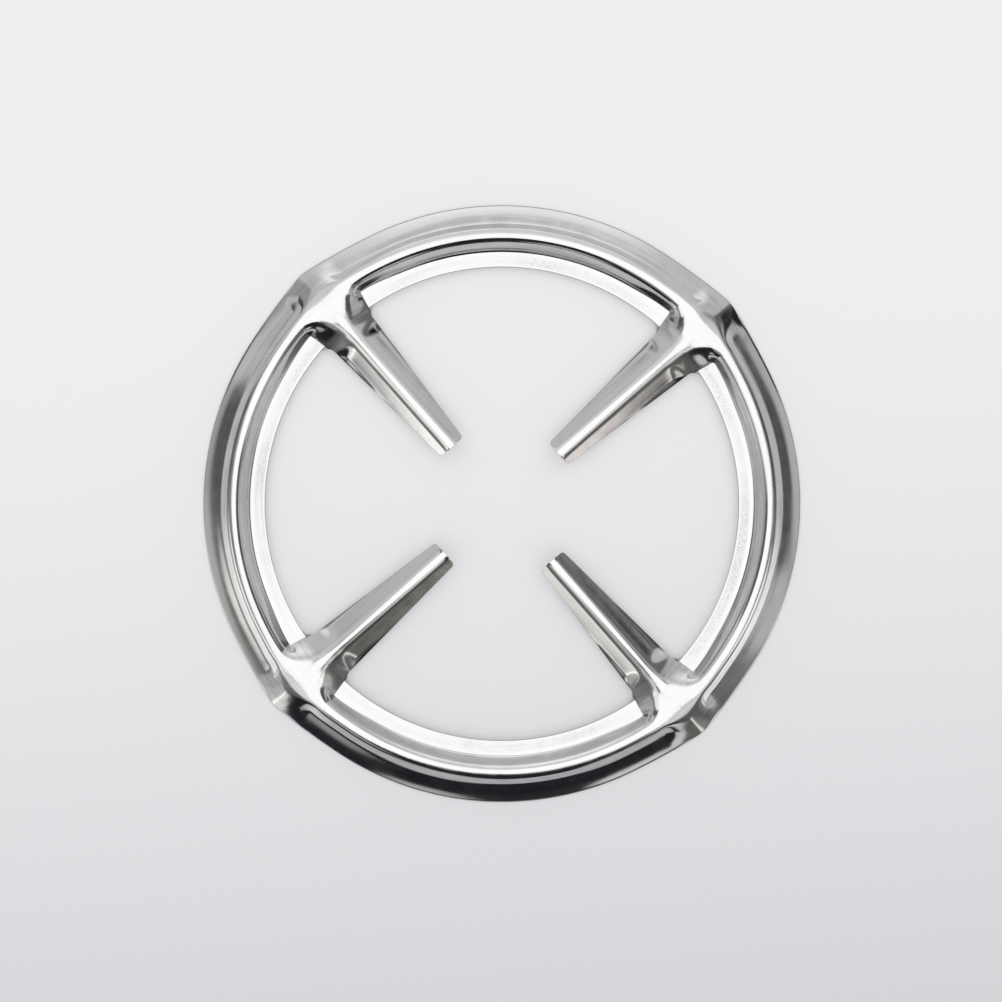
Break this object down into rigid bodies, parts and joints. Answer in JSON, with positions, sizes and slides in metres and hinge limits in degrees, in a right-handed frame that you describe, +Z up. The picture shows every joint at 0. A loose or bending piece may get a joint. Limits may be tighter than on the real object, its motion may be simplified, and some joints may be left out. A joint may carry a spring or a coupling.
{
  "type": "stove pot stand",
  "caption": "Round pressed stainless steel stand that holds a pot over a gas burner, with inward arms and raised pads where they cross the bead.",
  "frame": {"origin": "middle of the stand, on the plane that its rim rests on", "axes": "+Z up through the opening, +X and +Y through the middles of two bays, so that the arms lie on the diagonals"},
  "size_m": [0.2, 0.2, 0.0072],
  "materials": {
    "polished_steel": "polished, with fine scuffs"
  },
  "bodies": {
    "root": {"pot_stand": "polished_steel"}
  },
  "joints": []
}
